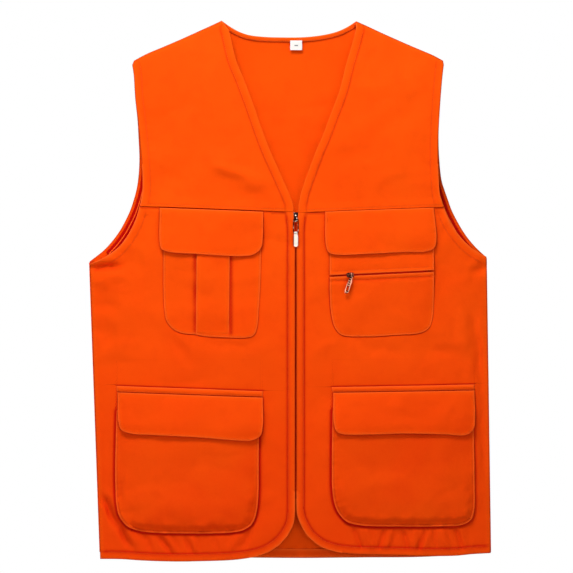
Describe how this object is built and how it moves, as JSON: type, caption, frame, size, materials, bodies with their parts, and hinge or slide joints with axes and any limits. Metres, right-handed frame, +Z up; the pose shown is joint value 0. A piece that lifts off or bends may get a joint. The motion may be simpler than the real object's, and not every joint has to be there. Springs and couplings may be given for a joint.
{
  "type": "utility vest",
  "caption": "Sleeveless bright orange zip-front vest with V neck, flapped chest pockets, one zipped, and bellows cargo pockets with flaps.",
  "frame": {"origin": "middle of the overall box in x and y, at the lowest point of the hem", "axes": "+Z up from hem to shoulders, +X towards the wearer's left, the front faces -Y"},
  "size_m": [0.5224, 0.0588, 0.7027],
  "materials": {
    "shell_cloth": "woven twill, matt",
    "facing_cloth": "woven twill, matt",
    "zip_tape": "woven tape",
    "hook_and_loop": "napped nylon",
    "label_weave": "satin weave",
    "zip_teeth": "moulded",
    "bright_metal": "polished",
    "dark_metal": "dark coated"
  },
  "bodies": {
    "back": {"back_panel": "shell_cloth", "back_neck_band": "facing_cloth", "back_hem_facing": "facing_cloth", "right_back_armhole_facing": "facing_cloth", "left_back_armhole_facing": "facing_cloth", "right_yoke": "shell_cloth", "right_neck_facing": "facing_cloth", "right_upper_armhole_facing": "facing_cloth", "right_shoulder_seam": "facing_cloth", "right_side_seam": "facing_cloth", "left_yoke": "shell_cloth", "left_neck_facing": "facing_cloth", "left_upper_armhole_facing": "facing_cloth", "left_shoulder_seam": "facing_cloth", "left_side_seam": "facing_cloth"},
    "size_label": {"size_label": "label_weave"},
    "right_front": {"right_front_panel": "shell_cloth", "right_front_facing": "facing_cloth", "right_lower_armhole_facing": "facing_cloth", "right_zip_tape": "zip_tape", "right_zip_chain": "zip_teeth", "zip_insertion_pin": "bright_metal", "right_chest_pocket": "shell_cloth", "right_chest_pleat": "shell_cloth", "right_chest_loop_patch": "hook_and_loop", "right_cargo_pocket": "shell_cloth", "right_cargo_gusset": "shell_cloth", "right_cargo_welt": "shell_cloth", "right_cargo_loop_patch": "hook_and_loop"},
    "left_front": {"left_front_panel": "shell_cloth", "left_front_facing": "facing_cloth", "left_lower_armhole_facing": "facing_cloth", "left_zip_tape": "zip_tape", "left_zip_chain": "zip_teeth", "zip_retainer_box": "bright_metal", "left_chest_pocket_upper": "shell_cloth", "left_chest_pocket_lower": "shell_cloth", "chest_zip_tape": "zip_tape", "chest_zip_upper_chain": "zip_teeth", "chest_zip_lower_chain": "zip_teeth", "chest_zip_stops": "bright_metal", "left_chest_loop_patch": "hook_and_loop", "left_cargo_pocket": "shell_cloth", "left_cargo_gusset": "shell_cloth", "left_cargo_welt": "shell_cloth", "left_cargo_loop_patch": "hook_and_loop"},
    "right_chest_flap": {"right_chest_flap": "shell_cloth", "right_chest_hook_patch": "hook_and_loop"},
    "left_chest_flap": {"left_chest_flap": "shell_cloth", "left_chest_hook_patch": "hook_and_loop"},
    "right_cargo_flap": {"right_cargo_flap": "shell_cloth", "right_cargo_hook_patch": "hook_and_loop"},
    "left_cargo_flap": {"left_cargo_flap": "shell_cloth", "left_cargo_hook_patch": "hook_and_loop"},
    "zip_slider": {"zip_slider": "bright_metal"},
    "zip_link": {"zip_link": "bright_metal"},
    "zip_pull": {"zip_pull": "bright_metal"},
    "chest_zip_slider": {"chest_zip_slider": "dark_metal"},
    "chest_zip_ring": {"chest_zip_ring": "bright_metal"},
    "chest_zip_pull": {"chest_zip_pull": "bright_metal"}
  },
  "joints": [
    {"name": "right_front_open", "type": "hinge", "parent": "back", "child": "right_front", "pos_m": [-0.26125, 0.00891, 0.378], "axis": [0.0362, 0, -0.9993], "range_deg": [0, 35]},
    {"name": "left_front_open", "type": "hinge", "parent": "back", "child": "left_front", "pos_m": [0.25595, 0.00891, 0.378], "axis": [-0.0146, 0, 0.9999], "range_deg": [0, 35]},
    {"name": "label_lift", "type": "hinge", "parent": "back", "child": "size_label", "pos_m": [0.00785, 0.01792, 0.6776], "axis": [-1, 0, 0], "range_deg": [0, 120]},
    {"name": "right_chest_flap_lift", "type": "hinge", "parent": "right_front", "child": "right_chest_flap", "pos_m": [-0.16925, -0.01304, 0.458], "axis": [-0.9978, 0.0542, 0.0386], "range_deg": [0, 150]},
    {"name": "left_chest_flap_lift", "type": "hinge", "parent": "left_front", "child": "left_chest_flap", "pos_m": [0.04525, -0.02047, 0.4531], "axis": [-0.9968, -0.0705, -0.0388], "range_deg": [0, 150]},
    {"name": "right_cargo_flap_lift", "type": "hinge", "parent": "right_front", "child": "right_cargo_flap", "pos_m": [-0.22435, -0.00579, 0.2194], "axis": [-0.9955, 0.0886, 0.0342], "range_deg": [0, 150]},
    {"name": "left_cargo_flap_lift", "type": "hinge", "parent": "left_front", "child": "left_cargo_flap", "pos_m": [0.05565, -0.02128, 0.2192], "axis": [-0.9953, -0.0954, -0.0141], "range_deg": [0, 150]},
    {"name": "zip_slide", "type": "slide", "parent": "left_front", "child": "zip_slider", "axis": [0, 0, -1], "range_m": [0, 0.344], "deforming": ["right_zip_chain", "left_zip_chain"]},
    {"name": "zip_link_swing", "type": "hinge", "parent": "zip_slider", "child": "zip_link", "pos_m": [0.00725, -0.01629, 0.4441], "axis": [-1, 0, 0], "range_deg": [0, 110]},
    {"name": "zip_pull_swing", "type": "hinge", "parent": "zip_link", "child": "zip_pull", "pos_m": [0.00725, -0.01629, 0.4265], "axis": [-1, 0, 0], "range_deg": [0, 60]},
    {"name": "chest_zip_slide", "type": "slide", "parent": "left_front", "child": "chest_zip_slider", "axis": [0.9965, 0.0687, 0.0486], "range_m": [0, 0.09], "deforming": ["chest_zip_upper_chain", "chest_zip_lower_chain"]},
    {"name": "chest_zip_ring_lift", "type": "hinge", "parent": "chest_zip_slider", "child": "chest_zip_ring", "pos_m": [0.0792, -0.02145, 0.37163], "axis": [-0.9965, -0.0687, -0.0486], "range_deg": [0, 100]},
    {"name": "chest_zip_pull_swing", "type": "hinge", "parent": "chest_zip_ring", "child": "chest_zip_pull", "pos_m": [0.07933, -0.02144, 0.36903], "axis": [-0.0688, 0.9976, 0], "range_deg": [-100, 60]}
  ]
}
